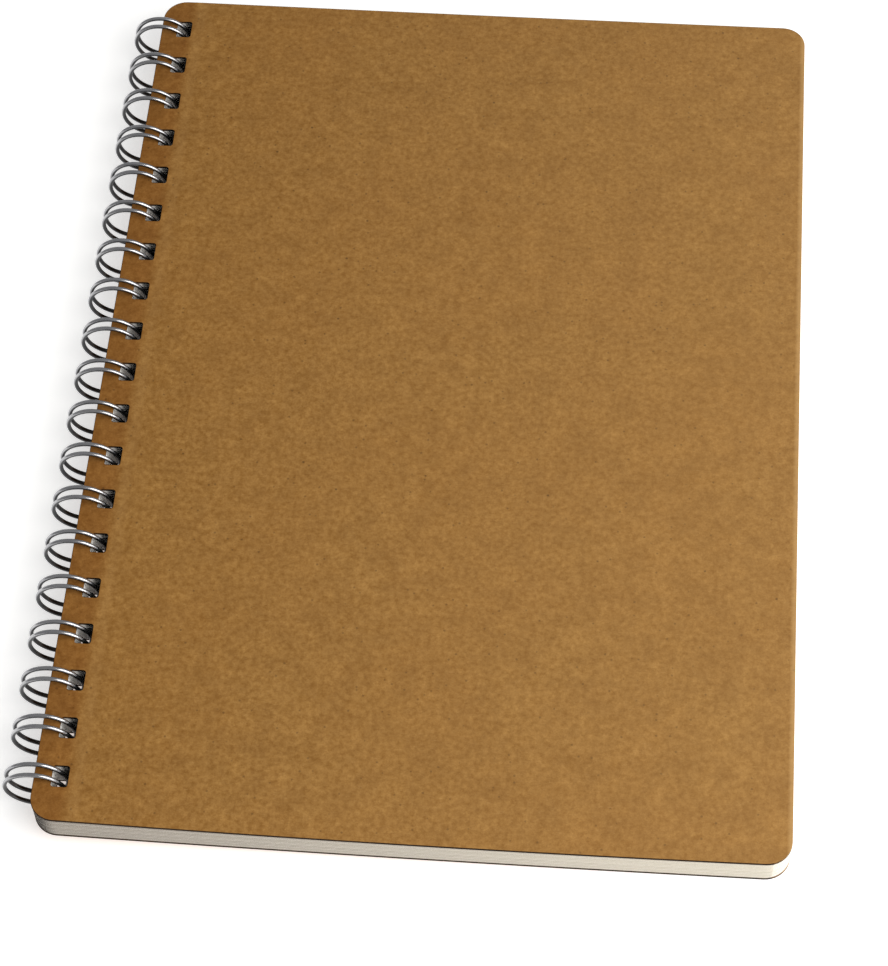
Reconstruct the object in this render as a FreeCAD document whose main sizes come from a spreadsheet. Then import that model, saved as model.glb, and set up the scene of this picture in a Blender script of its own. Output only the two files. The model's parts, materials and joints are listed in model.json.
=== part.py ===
import FreeCAD, Part
import math
import os
import Sketcher

# A wire-bound sketchbook, lying closed on its back cover.
#
# X runs from the spine (-X) to the fore-edge (+X), Y along the spine from the
# foot (-Y) to the head (+Y), and Z is up. The origin is in the middle of the
# footprint, on the surface that the book lies on.
#
# The leaves and the wire are drawn about the hinge axis, the line along Y through
# the middle of the rings that every leaf turns about. The rings are larger than
# the block is thick, and in the closed book they hang a little below its middle.
# The book leans: it stands on the undersides of its rings and on the fore-edge
# of its back cover.

DIMENSIONS = [
    # alias, value, meaning
    ("trim_width", 176.0, "leaf, spine edge to fore-edge (ISO B5)"),
    ("trim_height", 250.0, "leaf, foot to head (ISO B5)"),
    ("corner_radius", 6.0, "rounded corners of covers and sheets"),
    ("cover_thickness", 0.65, "kraft board of both covers"),
    ("paper_thickness", 0.125, "one sheet of drawing paper"),
    ("paper_pitch", 0.14, "one sheet and the air above it"),
    ("sheet_count", 50, "sheets between the covers"),
    ("loop_count", 19, "double loops of the binding"),
    ("loop_pitch", 12.7, "two double loops to the inch"),
    ("first_loop", 10.0, "head edge to the middle of the first loop"),
    ("hole_width", 3.9, "punched hole, across the spine"),
    ("hole_height", 5.3, "punched hole, along the spine"),
    ("hole_corner", 0.6, "rounded corners of the punch"),
    ("hole_margin", 4.2, "spine edge to the near side of the holes"),
    ("spine_gap", 0.1, "hinge axis to the spine edge of the leaves"),
    ("block_rise", 0.9, "middle of the block above the hinge axis"),
    ("wire_diameter", 1.1, "steel wire of the binding"),
    ("ring_diameter", 15.7, "outside of the closed rings"),
    ("finger_spacing", 2.8, "between the two wires of a double loop"),
    ("root_bend", 1.3, "bend from a ring into the wire along the spine"),
    ("seam_angle", 293.0, "middle of the seam, from +X towards +Z"),
    ("seam_gap", 1.7, "between the loop tips and the spine wires"),
]

# Size of every sketch's first rectangle, before its expressions set the real one.
START_SIDE = 10.0
START_ROUND = 2.0

# Largest difference accepted between a volume and the one worked out for it.
VOLUME_TOLERANCE = 0.002


def make_sheet(document):
    """The driving dimensions, one named cell each."""
    sheet = document.addObject("Spreadsheet::Sheet", "Dims")
    for row, (alias, value, meaning) in enumerate(DIMENSIONS, start=1):
        sheet.set(f"A{row}", meaning)
        sheet.set(f"B{row}", str(value))
        sheet.setAlias(f"B{row}", alias)
    document.recompute()
    return sheet


def half_block(dims):
    """From the middle of the block to the outside of a cover."""
    air = (dims.paper_pitch - dims.paper_thickness) / 2
    return dims.sheet_count * dims.paper_pitch / 2 + air + dims.cover_thickness


def lean_of_block(dims):
    """Angle in radians that lowers the back cover's fore-edge to the table."""
    reach = dims.spine_gap + dims.trim_width
    depth = half_block(dims) - dims.block_rise
    lowest = math.asin(dims.ring_diameter / 2 / math.hypot(reach, depth))
    return lowest - math.atan2(depth, reach)


def hinge_axis(dims):
    """Where the hinge axis lies, with the footprint's middle at the origin."""
    lean = lean_of_block(dims)
    reach = dims.spine_gap + dims.trim_width
    height = half_block(dims) + dims.block_rise
    fore_edge = reach * math.cos(lean) + height * math.sin(lean)
    ring_radius = dims.ring_diameter / 2
    return FreeCAD.Vector((ring_radius - fore_edge) / 2, 0, ring_radius)


def origin_feature(body, role):
    """One of a body's own origin planes or axes."""
    return next(feature for feature in body.Origin.OriginFeatures if feature.Role == role)


def rounded_rectangle(sketch, left, low, width, height, radius):
    """A constrained rectangle with round corners; every size is an expression."""
    near = START_SIDE
    far = 2 * START_SIDE
    corners = [(near, near), (far, near), (far, far), (near, far)]
    lines = []
    for (x0, y0), (x1, y1) in zip(corners, corners[1:] + corners[:1]):
        along = FreeCAD.Vector(x1 - x0, y1 - y0, 0).normalize() * START_ROUND
        first = FreeCAD.Vector(x0, y0, 0) + along
        last = FreeCAD.Vector(x1, y1, 0) - along
        lines.append(sketch.addGeometry(Part.LineSegment(first, last), False))
    arcs = []
    low_centre = near + START_ROUND
    high_centre = far - START_ROUND
    centres = [
        (high_centre, low_centre),
        (high_centre, high_centre),
        (low_centre, high_centre),
        (low_centre, low_centre),
    ]
    for quarter, (x, y) in enumerate(centres):
        circle = Part.Circle(FreeCAD.Vector(x, y, 0), FreeCAD.Vector(0, 0, 1), START_ROUND)
        begin = (quarter - 1) * math.pi / 2
        arc = Part.ArcOfCircle(circle, begin, begin + math.pi / 2)
        arcs.append(sketch.addGeometry(arc, False))
    for number in range(4):
        sketch.addConstraint(Sketcher.Constraint("Tangent", lines[number], 2, arcs[number], 1))
        following = lines[(number + 1) % 4]
        sketch.addConstraint(Sketcher.Constraint("Tangent", arcs[number], 2, following, 1))
    for number in (0, 2):
        sketch.addConstraint(Sketcher.Constraint("Horizontal", lines[number]))
        sketch.addConstraint(Sketcher.Constraint("Vertical", lines[number + 1]))
    for number in (1, 2, 3):
        sketch.addConstraint(Sketcher.Constraint("Equal", arcs[0], arcs[number]))
    bottom, right, top, left_side = lines
    measured = [
        ("left", "DistanceX", (-1, 1, left_side, 1), START_SIDE, left),
        ("low", "DistanceY", (-1, 1, bottom, 1), START_SIDE, low),
        ("width", "DistanceX", (left_side, 1, right, 1), START_SIDE, width),
        ("height", "DistanceY", (bottom, 1, top, 1), START_SIDE, height),
        ("radius", "Radius", (arcs[0],), START_ROUND, radius),
    ]
    for name, kind, elements, start, expression in measured:
        index = sketch.addConstraint(Sketcher.Constraint(kind, *elements, start))
        sketch.renameConstraint(index, name)
        sketch.setExpression(f"Constraints.{name}", expression)


def add_sketch(body, name, height):
    """A sketch parallel to the body's XY plane, at a height given as an expression."""
    sketch = body.newObject("Sketcher::SketchObject", name)
    sketch.AttachmentSupport = [(origin_feature(body, "XY_Plane"), "")]
    sketch.MapMode = "FlatFace"
    sketch.setExpression(".AttachmentOffset.Base.z", height)
    return sketch


def punched_leaf(document, label, underside, thickness):
    """A rounded leaf with a row of holes along its spine edge."""
    body = document.addObject("PartDesign::Body", label)
    body.Label = label

    outline = add_sketch(body, f"outline_{label}", underside)
    rounded_rectangle(
        outline,
        "Dims.spine_gap",
        "-Dims.trim_height / 2",
        "Dims.trim_width",
        "Dims.trim_height",
        "Dims.corner_radius",
    )
    leaf = body.newObject("PartDesign::Pad", f"leaf_{label}")
    leaf.Profile = outline
    leaf.setExpression("Length", thickness)
    outline.Visibility = False

    punch = add_sketch(body, f"punch_{label}", underside)
    rounded_rectangle(
        punch,
        "Dims.spine_gap + Dims.hole_margin",
        "Dims.trim_height / 2 - Dims.first_loop - Dims.hole_height / 2",
        "Dims.hole_width",
        "Dims.hole_height",
        "Dims.hole_corner",
    )
    hole = body.newObject("PartDesign::Pocket", f"hole_{label}")
    hole.Profile = punch
    hole.Type = "ThroughAll"
    hole.Midplane = True
    punch.Visibility = False

    row = body.newObject("PartDesign::LinearPattern", f"row_{label}")
    row.Originals = [hole]
    row.Direction = (origin_feature(body, "Y_Axis"), [""])
    row.Reversed = True
    row.setExpression("Length", "Dims.loop_pitch * (Dims.loop_count - 1)")
    row.setExpression("Occurrences", "Dims.loop_count")
    body.Tip = row
    return body


def binding_path(dims):
    """The centre line of the one wire that makes all the double loops."""
    radius = (dims.ring_diameter - dims.wire_diameter) / 2
    half = dims.finger_spacing / 2
    bend = dims.root_bend
    # The spine wires lie on one side of the seam and the loop tips on the other.
    # Both stand off the ring circle along a tangent, by a bend and by half a loop.
    seam = math.radians(dims.seam_angle)
    half_gap = dims.seam_gap / 2 / radius
    root = seam - half_gap - math.atan(bend / radius)
    tip = seam + half_gap + math.atan(half / radius) - 2 * math.pi

    def on_ring(angle, y):
        return FreeCAD.Vector(radius * math.cos(angle), y, radius * math.sin(angle))

    def forwards(angle):
        """Direction of a wire that runs round its ring towards the loop's tip."""
        return FreeCAD.Vector(math.sin(angle), 0, -math.cos(angle))

    def ring(y, outwards):
        """A ring from its root to its tip, as two arcs, or back again."""
        middle = (root + tip) / 2
        stops = [root, middle, tip] if outwards else [tip, middle, root]
        arcs = []
        for first, last in zip(stops, stops[1:]):
            between = on_ring((first + last) / 2, y)
            arcs.append(Part.Arc(on_ring(first, y), between, on_ring(last, y)))
        return arcs

    def quarter(start, end, centre):
        """A quarter circle from start to end, about centre."""
        outward = (start + end) / 2 - centre
        middle = centre + outward.normalize() * (start - centre).Length
        return Part.Arc(start, middle, end)

    curves = []
    first_y = -dims.trim_height / 2 + foot_margin(dims)
    for number in range(int(dims.loop_count)):
        y = first_y + number * dims.loop_pitch
        curves += ring(y - half, True)
        apex = on_ring(tip, y) + forwards(tip) * half
        curves.append(Part.Arc(on_ring(tip, y - half), apex, on_ring(tip, y + half)))
        curves += ring(y + half, False)
        if number < dims.loop_count - 1:
            next_y = y + dims.loop_pitch
            back = forwards(root) * -bend
            leave = on_ring(root, y + half)
            leave_centre = on_ring(root, y + half + bend)
            spine_start = leave_centre + back
            arrive = on_ring(root, next_y - half)
            arrive_centre = on_ring(root, next_y - half - bend)
            spine_end = arrive_centre + back
            curves.append(quarter(leave, spine_start, leave_centre))
            curves.append(Part.LineSegment(spine_start, spine_end))
            curves.append(quarter(spine_end, arrive, arrive_centre))
    return Part.Wire([curve.toShape() for curve in curves])


def foot_margin(dims):
    """Foot edge to the middle of the last loop."""
    return dims.trim_height - dims.first_loop - dims.loop_pitch * (dims.loop_count - 1)


def twin_loop_wire(document, dims):
    """The binding: one wire bent into a row of double loops."""
    path = binding_path(dims)
    start = path.OrderedEdges[0]
    tangent = start.tangentAt(start.FirstParameter)
    circle = Part.Circle(path.OrderedVertexes[0].Point, tangent, dims.wire_diameter / 2)
    section = Part.Wire(circle.toShape())
    solid = path.makePipeShell([section], True, False)
    expected = math.pi * (dims.wire_diameter / 2) ** 2 * path.Length
    if abs(solid.Volume / expected - 1) > VOLUME_TOLERANCE:
        raise ValueError(f"wire volume {solid.Volume:.1f}, expected {expected:.1f}")
    wire = document.addObject("Part::Feature", "twin_loop_wire")
    wire.Label = "twin_loop_wire"
    wire.Shape = solid
    return wire


def make_leaves(document, dims):
    """Both covers and every sheet, from the bottom of the block to the top."""
    half_paper = "Dims.sheet_count * Dims.paper_pitch / 2"
    air = "(Dims.paper_pitch - Dims.paper_thickness) / 2"
    block_low = f"Dims.block_rise - {half_paper}"
    back_underside = f"{block_low} - {air} - Dims.cover_thickness"
    leaves = [punched_leaf(document, "back_cover", back_underside, "Dims.cover_thickness")]
    count = int(dims.sheet_count)
    for number in range(count, 0, -1):
        underside = f"{block_low} + {air} + Dims.paper_pitch * {count - number}"
        leaves.append(punched_leaf(document, f"sheet_{number:02d}", underside, "Dims.paper_thickness"))
    front_underside = f"Dims.block_rise + {half_paper} + {air}"
    leaves.append(punched_leaf(document, "front_cover", front_underside, "Dims.cover_thickness"))
    return leaves


def check(document, subparts, dims):
    """Stop if any object failed, or if a leaf lost its holes."""
    for item in document.Objects:
        if "Invalid" in item.State or "Error" in item.State:
            raise ValueError(f"{item.Label} failed: {item.State}")
    for subpart in subparts:
        shape = subpart.Shape
        if shape.isNull() or not shape.isValid() or len(shape.Solids) != 1:
            raise ValueError(f"{subpart.Label} is not one valid solid")
    corner_loss = 4 - math.pi
    outline = dims.trim_width * dims.trim_height - corner_loss * dims.corner_radius ** 2
    hole = dims.hole_width * dims.hole_height - corner_loss * dims.hole_corner ** 2
    area = outline - dims.loop_count * hole
    for subpart in subparts:
        if subpart.TypeId == "PartDesign::Body":
            is_cover = subpart.Label.endswith("cover")
            thickness = dims.cover_thickness if is_cover else dims.paper_thickness
            if abs(subpart.Shape.Volume / (area * thickness) - 1) > VOLUME_TOLERANCE:
                raise ValueError(f"{subpart.Label} has the wrong volume")


def main():
    document = FreeCAD.newDocument("Sketchbook")
    dims = make_sheet(document)
    leaves = make_leaves(document, dims)
    document.recompute()
    wire = twin_loop_wire(document, dims)

    hinge = hinge_axis(dims)
    lean = FreeCAD.Rotation(FreeCAD.Vector(0, 1, 0), math.degrees(lean_of_block(dims)))
    for leaf in leaves:
        leaf.Placement = FreeCAD.Placement(hinge, lean)
    wire.Placement = FreeCAD.Placement(hinge, FreeCAD.Rotation())
    document.recompute()

    subparts = [*leaves, wire]
    check(document, subparts, dims)
    os.makedirs("parts", exist_ok=True)
    for subpart in subparts:
        subpart.Shape.exportStep(f"parts/{subpart.Label}.step")
    print(f"{len(subparts)} parts, hinge axis x {hinge.x:.4f} z {hinge.z:.4f}, lean {lean.Angle:.5f} radians")


main()
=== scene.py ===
import json
import math
import random

import bmesh
import bpy
from mathutils import Matrix, Quaternion, Vector


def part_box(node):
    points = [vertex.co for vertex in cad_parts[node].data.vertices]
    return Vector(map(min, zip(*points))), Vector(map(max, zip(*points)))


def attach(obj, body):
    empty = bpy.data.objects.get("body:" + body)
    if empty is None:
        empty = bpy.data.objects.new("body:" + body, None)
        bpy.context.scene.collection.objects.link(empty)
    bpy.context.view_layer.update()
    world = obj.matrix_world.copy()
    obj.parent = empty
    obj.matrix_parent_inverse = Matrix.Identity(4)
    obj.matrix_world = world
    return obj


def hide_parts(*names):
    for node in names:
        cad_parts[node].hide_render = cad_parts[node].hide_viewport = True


# A wire-bound sketchbook with kraft board covers, lying closed on a pale table.
# Everything is drawn about the hinge axis, which is the middle of the rings. The
# leaves are drawn in the frame of the leaning block: u across the leaf from the
# hinge axis to the fore-edge, v along the spine towards the head, and w out
# through the front cover.

MM = 0.001

# The same sizes as the design's, in millimetres.
CORNER_RADIUS = 6.0
LOOP_COUNT = 19
LOOP_PITCH = 12.7
FIRST_LOOP = 10.0
HOLE_WIDTH = 3.9
HOLE_HEIGHT = 5.3
HOLE_CORNER = 0.6
HOLE_MARGIN = 4.2
WIRE_DIAMETER = 1.1
FINGER_SPACING = 2.8
ROOT_BEND = 1.3
SEAM_ANGLE = 293.0
SEAM_GAP = 1.7

# Softened edges, and how far a leaf stands inside its CAD leaf's outline.
COVER_ROUND = 0.14
COVER_INSET = 0.01
SHEET_ROUND = 0.02
SHEET_INSET = 0.08
WIRE_END_ROUND = 0.15

# How far the loose sheets lie out of line, across and along.
SHEET_STRAY = (0.04, 0.05)

# Fineness of the meshes: cuts across and along a leaf and across its drooping
# edge, steps round its corners and in its softened edges, points on a ring and
# on a bend, and sides of the wire.
CUTS = 12
DROOP_CUTS = 4
CORNER_STEPS = 10
HOLE_CORNER_STEPS = 4
COVER_ROUND_STEPS = 2
SHEET_ROUND_STEPS = 0
RING_STEPS = 56
TIP_STEPS = 6
BEND_STEPS = 8
WIRE_SIDES = 20

# Kraft board's colours, as sRGB.
KRAFT_DARK = (146, 100, 39)
KRAFT_LIGHT = (188, 141, 77)
KRAFT_RED = (170, 112, 50)
KRAFT_DEEP = (108, 68, 22)
# KRAFT_PALE colours the pale fibres, and also the painted highlights and sheen.
KRAFT_PALE = (226, 183, 124)
KRAFT_FLECK = (56, 35, 15)

# What the painted shade on the strip between the rings multiplies the board's colour by, as sRGB.
KRAFT_STRIP_SHADE = (236, 222, 204)

# How the closed block bends, in millimetres: it hangs between its rings and its
# fore-edge, more at the foot than at the head, and the wire has pressed the
# covers' spine edges in.
COVER_SAG = (1.6, 0.2)
BOTTOM_SAG = (1.05, 0.15)
SPINE_DROOP = 0.35
DROOP_WIDTH = 11.0
FORE_EDGE_LIFT = 0.12

# Camera: where it looks, and from which side.
CAMERA_AIM = Vector((4.81, -25.97, 8.0)) * MM
CAMERA_DISTANCE = 0.7107
CAMERA_AZIMUTH = 8.82
CAMERA_ELEVATION = 57.45
CAMERA_ROLL = -5.14
CAMERA_LENS = 106.9

# The studio, in metres and watts.
TABLE_WIDTH = 6.0
WINDOW_PLACE = (0.55, -0.3, 0.55)
WINDOW_SIZE = (0.8, 0.7)
WINDOW_POWER = 7.0
WINDOW_COLOUR = (1.0, 0.985, 0.955)
ROOM_LIGHT = 0.32

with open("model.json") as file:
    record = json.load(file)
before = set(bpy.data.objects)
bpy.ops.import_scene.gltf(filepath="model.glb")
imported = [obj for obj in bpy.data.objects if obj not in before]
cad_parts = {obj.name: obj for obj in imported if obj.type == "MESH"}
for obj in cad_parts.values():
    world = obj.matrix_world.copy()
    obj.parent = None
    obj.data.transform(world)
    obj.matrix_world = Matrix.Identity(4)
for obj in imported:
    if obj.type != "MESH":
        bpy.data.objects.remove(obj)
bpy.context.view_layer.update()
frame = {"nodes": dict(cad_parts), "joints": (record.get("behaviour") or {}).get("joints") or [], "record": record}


# ---------------------------------------------------------------- the frame

def hinge_place():
    """The hinge axis's point halfway between foot and head."""
    joint = next(j for j in frame["joints"] if j["name"] == "turn_front_cover")
    return Vector(joint["pos_m"])


def block_lean():
    """How far the closed block leans towards its fore-edge, in radians."""
    faces = frame["nodes"]["front_cover"].data.polygons
    normal = max(faces, key=lambda face: face.area).normal
    return math.atan(normal.x / normal.z)


HINGE = hinge_place()
TO_FRAME = Matrix.Translation(HINGE) @ Matrix.Rotation(block_lean(), 4, "Y")
TO_BLOCK = TO_FRAME.inverted()


def block_box(node):
    """A leaf's lowest and highest corners in the leaning block's frame, in mm."""
    points = [TO_BLOCK @ v.co for v in frame["nodes"][node].data.vertices]
    low = [min(p[i] for p in points) / MM for i in range(3)]
    high = [max(p[i] for p in points) / MM for i in range(3)]
    return low, high


# ---------------------------------------------------------------- node helpers

class Nodes:
    """Small wrapper that makes a material's node tree readable."""

    def __init__(self, name):
        self.material = bpy.data.materials.new(name)
        self.material.use_nodes = True
        self.tree = self.material.node_tree
        self.shader = self.tree.nodes["Principled BSDF"]

    def add(self, kind, inputs=None, **settings):
        node = self.tree.nodes.new(kind)
        for key, value in settings.items():
            setattr(node, key, value)
        for key, value in (inputs or {}).items():
            self.put(value, node.inputs[key])
        return node

    def put(self, value, socket):
        if isinstance(value, bpy.types.NodeSocket):
            self.tree.links.new(value, socket)
        else:
            socket.default_value = value

    def coordinates(self, scale=(1, 1, 1), rotation=(0, 0, 0)):
        place = self.add("ShaderNodeTexCoord").outputs["Object"]
        mapping = self.add("ShaderNodeMapping", {"Vector": place, "Scale": scale, "Rotation": rotation})
        return mapping.outputs["Vector"]

    def noise(self, vector, scale, detail=3.0, roughness=0.5, distortion=0.0):
        inputs = {"Vector": vector, "Scale": scale, "Detail": detail}
        inputs.update({"Roughness": roughness, "Distortion": distortion})
        return self.add("ShaderNodeTexNoise", inputs).outputs["Fac"]

    def remap(self, value, low, high, to_low=0.0, to_high=1.0, smooth=False):
        kind = "SMOOTHSTEP" if smooth else "LINEAR"
        inputs = {"Value": value, "From Min": low, "From Max": high, "To Min": to_low, "To Max": to_high}
        return self.add("ShaderNodeMapRange", inputs, interpolation_type=kind).outputs["Result"]

    def math(self, operation, first, second=0.0):
        node = self.add("ShaderNodeMath", operation=operation)
        self.put(first, node.inputs[0])
        self.put(second, node.inputs[1])
        return node.outputs["Value"]

    def mix(self, factor, first, second, blend="MIX"):
        node = self.add("ShaderNodeMix", data_type="RGBA", blend_type=blend)
        self.put(factor, node.inputs["Factor"])
        self.put(first, node.inputs["A"])
        self.put(second, node.inputs["B"])
        return node.outputs["Result"]

    def bump(self, height, strength, distance):
        inputs = {"Height": height, "Strength": strength, "Distance": distance}
        return self.add("ShaderNodeBump", inputs).outputs["Normal"]


def linear(red, green, blue):
    """A colour given in sRGB, 0 to 255, as Blender's linear colour."""
    def channel(value):
        value /= 255
        return value / 12.92 if value <= 0.04045 else ((value + 0.055) / 1.055) ** 2.4
    return (channel(red), channel(green), channel(blue), 1.0)


# ---------------------------------------------------------------- materials

def fibres(m, scale, count, low, high):
    """Short fibres that lie in a few directions, as a 0 to 1 mask."""
    total = None
    for number in range(count):
        turn = math.pi * number / count + 0.35
        place = m.coordinates((1, 9, 1), (0, 0, turn))
        streak = m.noise(place, scale * (1 + 0.13 * number), 2.0, 0.55, 0.6)
        mask = m.remap(streak, low, high)
        total = mask if total is None else m.math("MAXIMUM", total, mask)
    return total


def flecks(m, place, scale, size, share):
    """Small round flecks of one size, in a share of the cells of a grid."""
    cells = m.add("ShaderNodeTexVoronoi", {"Vector": place, "Scale": scale, "Randomness": 1.0})
    spot = m.remap(cells.outputs["Distance"], size * 0.45, size, 1.0, 0.0, smooth=True)
    pick = m.add("ShaderNodeSeparateColor", {"Color": cells.outputs["Color"]}).outputs["Red"]
    return m.math("MULTIPLY", spot, m.math("LESS_THAN", pick, share))


def across_leaf(m, place):
    """Distance from the hinge axis towards the fore-edge."""
    x = m.add("ShaderNodeSeparateXYZ", {"Vector": place}).outputs["X"]
    return m.math("SUBTRACT", x, HINGE.x)


def kraft_material():
    """Uncoated kraft board: brown and mottled, with fibres and small dark flecks."""
    m = Nodes("kraft_board")
    place = m.coordinates()
    cloud = m.noise(place, 22, 3.0, 0.5)
    patches = m.noise(place, 170, 3.0, 0.6)
    mottle = m.noise(place, 760, 4.0, 0.65)
    grain = m.noise(place, 3000, 2.0, 0.7)

    colour = m.mix(m.remap(mottle, 0.3, 0.7), linear(*KRAFT_DARK), linear(*KRAFT_LIGHT))
    colour = m.mix(m.remap(cloud, 0.3, 0.7, 0.0, 0.16), colour, linear(*KRAFT_RED))
    colour = m.mix(m.remap(patches, 0.3, 0.7, 0.0, 0.3), colour, linear(*KRAFT_DEEP))
    colour = m.mix(m.remap(grain, 0.35, 0.75, 0.0, 0.3), colour, linear(*KRAFT_DEEP))

    pale = fibres(m, 520, 4, 0.66, 0.76)
    colour = m.mix(m.math("MULTIPLY", pale, 0.16), colour, linear(*KRAFT_PALE))
    dark = fibres(m, 430, 3, 0.67, 0.77)
    colour = m.mix(m.math("MULTIPLY", dark, 0.30), colour, linear(*KRAFT_DEEP))

    small = flecks(m, place, 620.0, 0.24, 0.16)
    colour = m.mix(m.math("MULTIPLY", small, 0.42), colour, linear(*KRAFT_FLECK))
    large = flecks(m, place, 230.0, 0.10, 0.10)
    colour = m.mix(m.math("MULTIPLY", large, 0.6), colour, linear(*KRAFT_FLECK))

    # The strip between the rings is painted browner as shade, a faint painted highlight runs beside the holes
    # where the board creases, and a painted sheen makes the leaf paler towards its fore-edge, most of all as a
    # painted highlight at the rim.
    across = across_leaf(m, place)
    hole_edge = (BLOCK_LOW[0] + HOLE_MARGIN + HOLE_WIDTH) * MM
    fore_edge = BLOCK_HIGH[0] * MM
    # Painted shade: the strip between the spine edge and the holes is darker and browner.
    strip_shade = m.remap(across, hole_edge - 1.5 * MM, hole_edge + 2.0 * MM, 1.0, 0.0, smooth=True)
    colour = m.mix(strip_shade, colour, linear(*KRAFT_STRIP_SHADE), "MULTIPLY")
    # Painted highlight: a faint pale band just beside the holes, where the board creases.
    offset = m.math("ABSOLUTE", m.math("SUBTRACT", across, hole_edge + 2.4 * MM))
    crease_highlight = m.remap(offset, 0.2 * MM, 2.4 * MM, 0.05, 0.0, smooth=True)
    # Painted sheen: the board grows paler from the holes towards the fore-edge.
    fore_edge_sheen = m.remap(across, hole_edge, fore_edge, 0.0, 0.12)
    # Painted highlight: a pale band along the last two millimetres of the fore-edge.
    rim_highlight = m.remap(across, fore_edge - 1.9 * MM, fore_edge - 0.2 * MM, 0.0, 0.45, smooth=True)
    # The painted highlights and sheen together, mixed towards the pale colour.
    painted_highlights = m.math("MAXIMUM", crease_highlight, m.math("MAXIMUM", fore_edge_sheen, rim_highlight))
    colour = m.mix(painted_highlights, colour, linear(*KRAFT_PALE))

    m.put(colour, m.shader.inputs["Base Color"])
    m.put(m.remap(mottle, 0.3, 0.7, 0.76, 0.88), m.shader.inputs["Roughness"])
    m.put(0.2, m.shader.inputs["Specular IOR Level"])
    relief = m.math("ADD", m.math("MULTIPLY", grain, 0.5), m.math("MULTIPLY", pale, 0.3))
    relief = m.math("ADD", relief, m.math("MULTIPLY", mottle, 0.7))
    m.put(m.bump(relief, 0.35, 0.00006), m.shader.inputs["Normal"])
    return m.material


def cut_edge_material():
    """The board's cut edge: its pressed layers, darker than the face and deepened near-black as painted shade
    along the shadowed edge.
    """
    m = Nodes("kraft_cut_edge")
    layers = m.noise(m.coordinates((0.15, 0.15, 7)), 700, 3.0, 0.6)
    chips = m.noise(m.coordinates(), 900, 3.0, 0.6)
    colour = m.mix(m.remap(layers, 0.3, 0.7), linear(28, 19, 11), linear(56, 38, 22))
    colour = m.mix(m.remap(chips, 0.55, 0.75, 0.0, 0.2), colour, linear(120, 88, 54))
    m.put(colour, m.shader.inputs["Base Color"])
    m.put(0.9, m.shader.inputs["Roughness"])
    m.put(0.2, m.shader.inputs["Specular IOR Level"])
    m.put(m.bump(m.math("ADD", layers, chips), 0.5, 0.00005), m.shader.inputs["Normal"])
    return m.material


def hole_wall_material(name, unshaded):
    """The walls of the holes: painted shade, near-black on the side away from the spine."""
    m = Nodes(name)
    place = m.coordinates()
    near = (BLOCK_LOW[0] + HOLE_MARGIN) * MM
    # Painted shade: the wall's colour turns near-black away from the spine, a little mottled.
    side = m.remap(across_leaf(m, place), near + 1.4 * MM, near + 2.6 * MM, 0.0, 1.0, smooth=True)
    shade_mottle = m.noise(place, 900, 2.0, 0.5)
    dark = m.mix(m.remap(shade_mottle, 0.3, 0.7), linear(9, 8, 8), linear(18, 15, 14))
    m.put(m.mix(side, linear(*unshaded), dark), m.shader.inputs["Base Color"])
    m.put(0.9, m.shader.inputs["Roughness"])
    m.put(0.1, m.shader.inputs["Specular IOR Level"])
    return m.material


def paper_material(name, tone):
    """Uncoated drawing paper, warm white, with a faint tooth."""
    m = Nodes(name)
    place = m.coordinates()
    tooth = m.noise(place, 2600, 3.0, 0.65)
    cloud = m.noise(place, 60, 2.0, 0.5)
    base = linear(253 * tone, 250 * tone, 244 * tone)
    shade = linear(240 * tone, 236 * tone, 227 * tone)
    colour = m.mix(m.remap(cloud, 0.3, 0.7, 0.0, 0.15), base, shade)
    colour = m.mix(m.remap(tooth, 0.35, 0.75, 0.0, 0.25), colour, shade)
    m.put(colour, m.shader.inputs["Base Color"])
    m.put(0.88, m.shader.inputs["Roughness"])
    m.put(0.3, m.shader.inputs["Specular IOR Level"])
    m.put(m.bump(tooth, 0.3, 0.00003), m.shader.inputs["Normal"])
    return m.material


def paper_edge_material(name, tone):
    """The sheets' cut edges: painted shade, greyer towards the spine, and painted dark shadow at its spine
    corners.
    """
    m = Nodes(name)
    place = m.coordinates()
    across = across_leaf(m, place)
    unshaded = m.remap(across, BLOCK_LOW[0] * MM, BLOCK_HIGH[0] * MM, 0.0, 1.0)
    speck = m.noise(place, 1400, 3.0, 0.6)
    grey = linear(160 * tone, 151 * tone, 141 * tone)
    white = linear(222 * tone, 214 * tone, 198 * tone)
    # Painted shade: grey by the spine, white by the fore-edge.
    colour = m.mix(unshaded, grey, white)
    near = BLOCK_LOW[0] * MM
    far = BLOCK_HIGH[1] * MM
    # Painted shadow: near-black at the corners by the spine, at head and foot.
    by_spine = m.remap(across, near + 2.0 * MM, near + 6.5 * MM, 1.0, 0.0, smooth=True)
    along = m.math("ABSOLUTE", m.add("ShaderNodeSeparateXYZ", {"Vector": place}).outputs["Y"])
    by_end = m.remap(along, far - 6.0 * MM, far - 2.5 * MM, 0.0, 0.9, smooth=True)
    colour = m.mix(m.math("MULTIPLY", by_spine, by_end), colour, linear(46, 39, 33))
    colour = m.mix(m.remap(speck, 0.45, 0.8, 0.0, 0.2), colour, grey)
    m.put(colour, m.shader.inputs["Base Color"])
    m.put(0.9, m.shader.inputs["Roughness"])
    m.put(0.2, m.shader.inputs["Specular IOR Level"])
    return m.material


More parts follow.
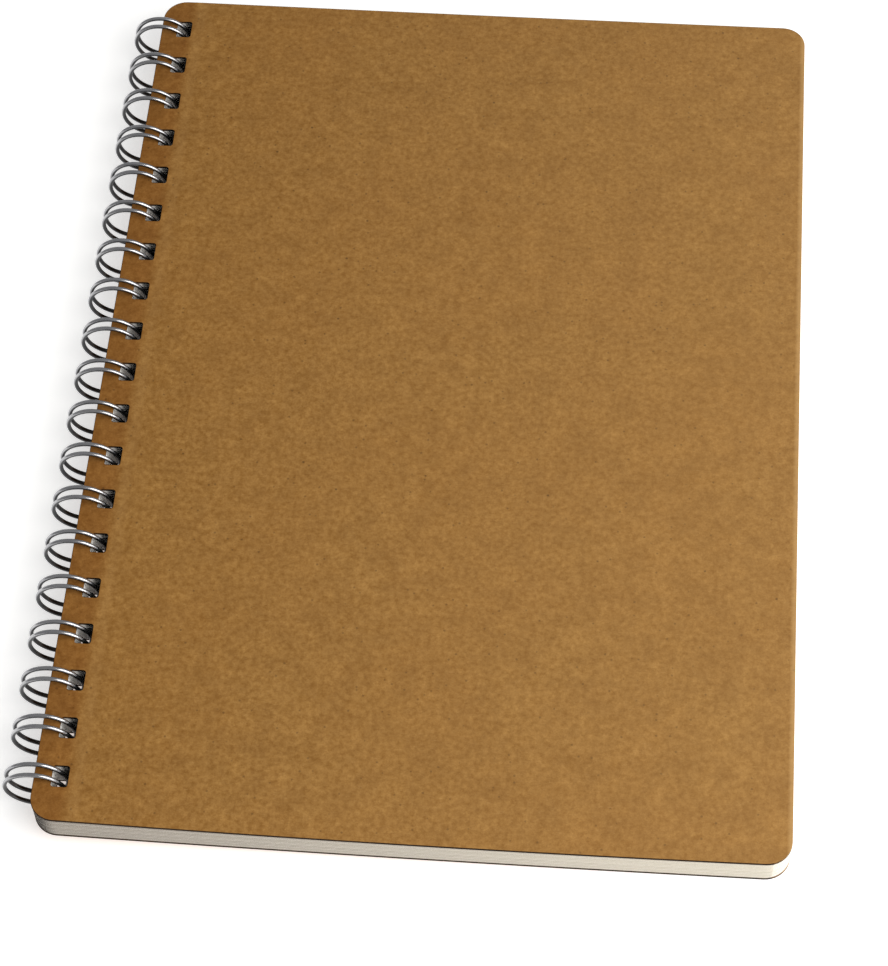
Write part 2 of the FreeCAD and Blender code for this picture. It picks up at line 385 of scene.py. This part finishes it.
def wire_material():
    """Plated steel wire: bright on the outside of the rings, and painted dark on its flanks and on the inside of
    the rings, as painted dark reflection and shade.
    """
    m = Nodes("binding_wire")
    place = m.coordinates()
    patches = m.noise(place, 260, 3.0, 0.6)
    fine = m.noise(place, 3800, 2.0, 0.6)
    from_middle = m.add("ShaderNodeVectorMath", operation="SUBTRACT")
    m.put(m.coordinates((1, 0, 1)), from_middle.inputs[0])
    m.put((HINGE.x, 0, HINGE.z), from_middle.inputs[1])
    length = m.add("ShaderNodeVectorMath", operation="LENGTH")
    m.put(from_middle.outputs["Vector"], length.inputs[0])
    radius = RING_RADIUS * MM
    # Painted dark reflection and shade: dark where the wire lies within the ring's radius, on its flanks and
    # inside.
    painted_dark_reflection = m.remap(length.outputs["Value"], radius, radius + 0.45 * MM, 0.9, 0.0, smooth=True)
    colour = m.mix(m.remap(patches, 0.35, 0.7), linear(188, 188, 190), linear(168, 168, 172))
    colour = m.mix(painted_dark_reflection, colour, linear(52, 53, 54))
    m.put(colour, m.shader.inputs["Base Color"])
    m.put(1.0, m.shader.inputs["Metallic"])
    m.put(m.remap(patches, 0.3, 0.7, 0.16, 0.28), m.shader.inputs["Roughness"])
    m.put(m.bump(fine, 0.12, 0.00002), m.shader.inputs["Normal"])
    return m.material


def table_material():
    """Plain pale table top, lit a little from within like a light table."""
    m = Nodes("table_top")
    m.put(linear(250, 250, 249), m.shader.inputs["Base Color"])
    m.put(0.7, m.shader.inputs["Roughness"])
    m.put((1, 1, 1, 1), m.shader.inputs["Emission Color"])
    m.put(0.5, m.shader.inputs["Emission Strength"])
    return m.material


# ---------------------------------------------------------------- leaves

def rounded_corners(left, low, right, high, radius, steps):
    """A rectangle's outline with round corners, anticlockwise."""
    centres = [(right - radius, low + radius), (right - radius, high - radius),
               (left + radius, high - radius), (left + radius, low + radius)]
    points = []
    for quarter, (x, y) in enumerate(centres):
        for step in range(steps + 1):
            angle = (quarter - 1 + step / steps) * math.pi / 2
            points.append((x + radius * math.cos(angle), y + radius * math.sin(angle)))
    return points


def punched_outlines(low, high, inset):
    """The outline of a leaf and of its holes, between its block box's corners."""
    left, bottom, _ = low
    right, top, _ = high
    outer = (left + inset, bottom + inset, right - inset, top - inset)
    loops = [rounded_corners(*outer, CORNER_RADIUS, CORNER_STEPS)]
    near = left + HOLE_MARGIN
    for number in range(LOOP_COUNT):
        middle = top - FIRST_LOOP - number * LOOP_PITCH
        hole = (near, middle - HOLE_HEIGHT / 2, near + HOLE_WIDTH, middle + HOLE_HEIGHT / 2)
        loops.append(rounded_corners(*hole, HOLE_CORNER, HOLE_CORNER_STEPS))
    return loops


def plate_mesh(name, loops, thickness, round_edge, round_steps):
    """A flat plate with holes and softened edges, about its own middle plane."""
    curve = bpy.data.curves.new(name, "CURVE")
    curve.dimensions = "2D"
    curve.fill_mode = "BOTH"
    curve.extrude = (thickness / 2 - round_edge) * MM
    curve.bevel_depth = round_edge * MM
    curve.bevel_resolution = round_steps
    curve.offset = -round_edge * MM
    for loop in loops:
        spline = curve.splines.new("POLY")
        spline.points.add(len(loop) - 1)
        for point, (x, y) in zip(spline.points, loop):
            point.co = (x * MM, y * MM, 0, 1)
        spline.use_cyclic_u = True
    flat = bpy.data.objects.new(name, curve)
    bpy.context.scene.collection.objects.link(flat)
    evaluated = flat.evaluated_get(bpy.context.evaluated_depsgraph_get())
    mesh = bpy.data.meshes.new_from_object(evaluated)
    bpy.data.objects.remove(flat)
    bpy.data.curves.remove(curve)
    return mesh


def leaf_mesh(name, node, inset, round_edge, round_steps, shift=(0, 0)):
    """The leaf that stands for a CAD leaf, bent as the closed block bends."""
    low, high = block_box(node)
    outlines = punched_outlines(low, high, inset)
    mesh = plate_mesh(name, outlines, high[2] - low[2], round_edge, round_steps)
    build = bmesh.new()
    build.from_mesh(mesh)
    bmesh.ops.remove_doubles(build, verts=build.verts, dist=1e-7)
    cuts = [(axis, low[axis] + (high[axis] - low[axis]) * number / CUTS)
            for axis in (0, 1) for number in range(1, CUTS)]
    cuts += [(0, low[0] + DROOP_WIDTH * number / DROOP_CUTS) for number in range(1, DROOP_CUTS + 1)]
    for axis, place in cuts:
        direction = Vector((1 - axis, axis, 0))
        everything = build.verts[:] + build.edges[:] + build.faces[:]
        bmesh.ops.bisect_plane(build, geom=everything, dist=1e-8,
                               plane_co=direction * place * MM, plane_no=direction)
    middle = (low[2] + high[2]) / 2
    for vertex in build.verts:
        vertex.co.z += (middle + bend(vertex.co.x / MM, vertex.co.y / MM, middle)) * MM
        vertex.co.x += shift[0] * MM
        vertex.co.y += shift[1] * MM
    bmesh.ops.recalc_face_normals(build, faces=build.faces)
    for face in build.faces:
        face.material_index = surface_of(face, low, high)
    bmesh.ops.transform(build, matrix=TO_FRAME, verts=build.verts)
    build.to_mesh(mesh)
    build.free()
    mesh.name = name
    return mesh


def surface_of(face, low, high):
    """A leaf face's material: 0 for the leaf's two sides, 1 its edge, 2 a hole's wall.

    The rounding of the edge takes the edge's dark painted shade, except at the fore-edge, where it takes the
    face's material with its painted highlight.
    """
    flat = 0.5 if face.normal.x > 0.2 else 0.97
    if abs(face.normal.z) > flat:
        return 0
    u, v, _ = face.calc_center_median() / MM
    beside_spine = low[0] + HOLE_MARGIN / 2 < u < low[0] + HOLE_MARGIN * 2 + HOLE_WIDTH
    between_ends = low[1] + HOLE_MARGIN < v < high[1] - HOLE_MARGIN
    return 2 if beside_spine and between_ends else 1


def bend(u, v, w):
    """How far the closed block's bend lifts a point of it, in mm."""
    height = (w - BLOCK_LOW[2]) / (BLOCK_HIGH[2] - BLOCK_LOW[2])
    across = min(max((u - BLOCK_LOW[0]) / (BLOCK_HIGH[0] - BLOCK_LOW[0]), 0), 1)
    along = min(max((v - BLOCK_LOW[1]) / (BLOCK_HIGH[1] - BLOCK_LOW[1]), 0), 1)
    sag = [bottom + (top - bottom) * height for bottom, top in zip(BOTTOM_SAG, COVER_SAG)]
    hang = (sag[0] + (sag[1] - sag[0]) * along) * (1 - (2 * across - 1) ** 2)
    droop = SPINE_DROOP * height * max(0, 1 - (u - BLOCK_LOW[0]) / DROOP_WIDTH) ** 2
    lift = FORE_EDGE_LIFT * height * across ** 3
    return lift - hang - droop


def add_piece(name, mesh, materials, body, node):
    """Put a mesh in the scene as the piece that stands for a CAD node."""
    piece = bpy.data.objects.new(name, mesh)
    bpy.context.scene.collection.objects.link(piece)
    for material in materials:
        mesh.materials.append(material)
    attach(piece, body)
    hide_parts(node)


def make_covers():
    board = [kraft_material(), cut_edge_material(), hole_wall_material("kraft_hole_wall", (70, 46, 24))]
    for node in ("front_cover", "back_cover"):
        mesh = leaf_mesh(node + "_board", node, COVER_INSET, COVER_ROUND, COVER_ROUND_STEPS)
        add_piece(node + "_board", mesh, board, node, node)


def make_sheets():
    rng = random.Random(5)
    wall = hole_wall_material("paper_hole_wall", (240, 238, 236))
    papers = []
    for number, tone in enumerate((1.0, 0.985, 0.97)):
        face = paper_material(f"drawing_paper_{number}", tone)
        papers.append([face, paper_edge_material(f"paper_edge_{number}", tone), wall])
    body_of = {n: b for b, nodes in frame["record"]["behaviour"]["bodies"].items() for n in nodes}
    for node in sorted(n for n in frame["nodes"] if n.startswith("sheet_")):
        shift = [rng.uniform(-stray, stray) for stray in SHEET_STRAY]
        mesh = leaf_mesh(node + "_leaf", node, SHEET_INSET, SHEET_ROUND, SHEET_ROUND_STEPS, shift)
        paper = papers[rng.randrange(len(papers))]
        add_piece(node + "_leaf", mesh, paper, body_of[node], node)


# ---------------------------------------------------------------- wire

def wire_points():
    """The wire's centre line, in mm about the hinge axis."""
    radius = RING_RADIUS
    half = FINGER_SPACING / 2
    seam = math.radians(SEAM_ANGLE)
    half_gap = SEAM_GAP / 2 / radius
    root = seam - half_gap - math.atan(ROOT_BEND / radius)
    tip = seam + half_gap + math.atan(half / radius) - 2 * math.pi
    along = Vector((0, 1, 0))

    def on_ring(angle, y):
        return Vector((radius * math.cos(angle), y, radius * math.sin(angle)))

    def forwards(angle):
        """Direction of a wire that runs round its ring towards the loop's tip."""
        return Vector((math.sin(angle), 0, -math.cos(angle)))

    def ring(y, start, end):
        return [on_ring(start + (end - start) * step / RING_STEPS, y) for step in range(RING_STEPS)]

    def arc(centre, start, end, size, steps):
        """A quarter turn about centre, from one direction to the other, without its last point."""
        turns = [math.pi / 2 * step / steps for step in range(steps)]
        return [centre + (start * math.cos(t) + end * math.sin(t)) * size for t in turns]

    points = []
    foot = BLOCK_HIGH[1] - FIRST_LOOP - (LOOP_COUNT - 1) * LOOP_PITCH
    for number in range(LOOP_COUNT):
        y = foot + number * LOOP_PITCH
        points += ring(y - half, root, tip)
        points += arc(on_ring(tip, y), -along, forwards(tip), half, TIP_STEPS)
        points += arc(on_ring(tip, y), forwards(tip), along, half, TIP_STEPS)
        points += ring(y + half, tip, root)
        if number < LOOP_COUNT - 1:
            leave = on_ring(root, y + half + ROOT_BEND)
            arrive = on_ring(root, y + LOOP_PITCH - half - ROOT_BEND)
            points += arc(leave, -along, -forwards(root), ROOT_BEND, BEND_STEPS)
            points += arc(arrive, -forwards(root), along, ROOT_BEND, BEND_STEPS)
    points.append(on_ring(root, foot + (LOOP_COUNT - 1) * LOOP_PITCH + half))
    return points


def tube_mesh(name, points, radius, sides):
    """A round tube along the points, with closed ends a little rounded."""
    tangents = []
    for index in range(len(points)):
        before = points[max(index - 1, 0)]
        after = points[min(index + 1, len(points) - 1)]
        tangents.append((after - before).normalized())
    last = len(points) - 1
    vertices = []
    side = tangents[0].orthogonal().normalized()
    for index, (point, tangent) in enumerate(zip(points, tangents)):
        side = (side - tangent * side.dot(tangent)).normalized()
        other = tangent.cross(side)
        size = radius - WIRE_END_ROUND if index in (0, last) else radius
        for step in range(sides):
            angle = 2 * math.pi * step / sides
            out = side * math.cos(angle) + other * math.sin(angle)
            vertices.append(HINGE + (point + out * size) * MM)
    faces = []
    for start in range(0, last * sides, sides):
        for step in range(sides):
            following = start + (step + 1) % sides
            faces.append((start + step, following, following + sides, start + step + sides))
    faces.append(tuple(reversed(range(sides))))
    faces.append(tuple(range(last * sides, (last + 1) * sides)))
    mesh = bpy.data.meshes.new(name)
    mesh.from_pydata(vertices, [], faces)
    mesh.polygons.foreach_set("use_smooth", [len(face) == 4 for face in faces])
    return mesh


def make_wire():
    mesh = tube_mesh("twin_loop_binding", wire_points(), WIRE_DIAMETER / 2, WIRE_SIDES)
    add_piece("twin_loop_binding", mesh, [wire_material()], "binding", "twin_loop_wire")


# ---------------------------------------------------------------- the studio

def make_table():
    half = TABLE_WIDTH / 2
    corners = [(-half, -half, 0), (half, -half, 0), (half, half, 0), (-half, half, 0)]
    mesh = bpy.data.meshes.new("table_top")
    mesh.from_pydata(corners, [], [(0, 1, 2, 3)])
    mesh.materials.append(table_material())
    table = bpy.data.objects.new("table_top", mesh)
    bpy.context.scene.collection.objects.link(table)


def add_light(name, place, power, size, colour):
    """A soft rectangular light that faces the middle of the table."""
    data = bpy.data.lights.new(name, "AREA")
    data.shape = "RECTANGLE"
    data.size, data.size_y = size
    data.energy = power
    data.color = colour
    light = bpy.data.objects.new(name, data)
    bpy.context.scene.collection.objects.link(light)
    light.location = place
    light.rotation_euler = Vector(place).to_track_quat("Z", "Y").to_euler()


def make_lights():
    add_light("window", WINDOW_PLACE, WINDOW_POWER, WINDOW_SIZE, WINDOW_COLOUR)
    world = bpy.data.worlds.new("studio")
    world.use_nodes = True
    background = world.node_tree.nodes["Background"]
    background.inputs["Color"].default_value = (1, 1, 1, 1)
    background.inputs["Strength"].default_value = ROOM_LIGHT
    bpy.context.scene.world = world


def make_camera():
    azimuth, elevation = math.radians(CAMERA_AZIMUTH), math.radians(CAMERA_ELEVATION)
    level = math.cos(elevation)
    back = Vector((math.sin(azimuth) * level, -math.cos(azimuth) * level, math.sin(elevation)))
    data = bpy.data.cameras.new("camera")
    data.lens = CAMERA_LENS
    data.clip_start = 0.01
    camera = bpy.data.objects.new("camera", data)
    bpy.context.scene.collection.objects.link(camera)
    turn = back.to_track_quat("Z", "Y") @ Quaternion((0, 0, 1), math.radians(CAMERA_ROLL))
    camera.matrix_world = Matrix.LocRotScale(CAMERA_AIM + back * CAMERA_DISTANCE, turn, None)
    bpy.context.scene.camera = camera


BLOCK_LOW = block_box("back_cover")[0]
BLOCK_HIGH = block_box("front_cover")[1]
RING_RADIUS = (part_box("twin_loop_wire")[1].z - HINGE.z) / MM - WIRE_DIAMETER / 2

bpy.context.scene.view_settings.view_transform = "Standard"
make_camera()
make_table()
make_lights()
make_covers()
make_sheets()
make_wire()
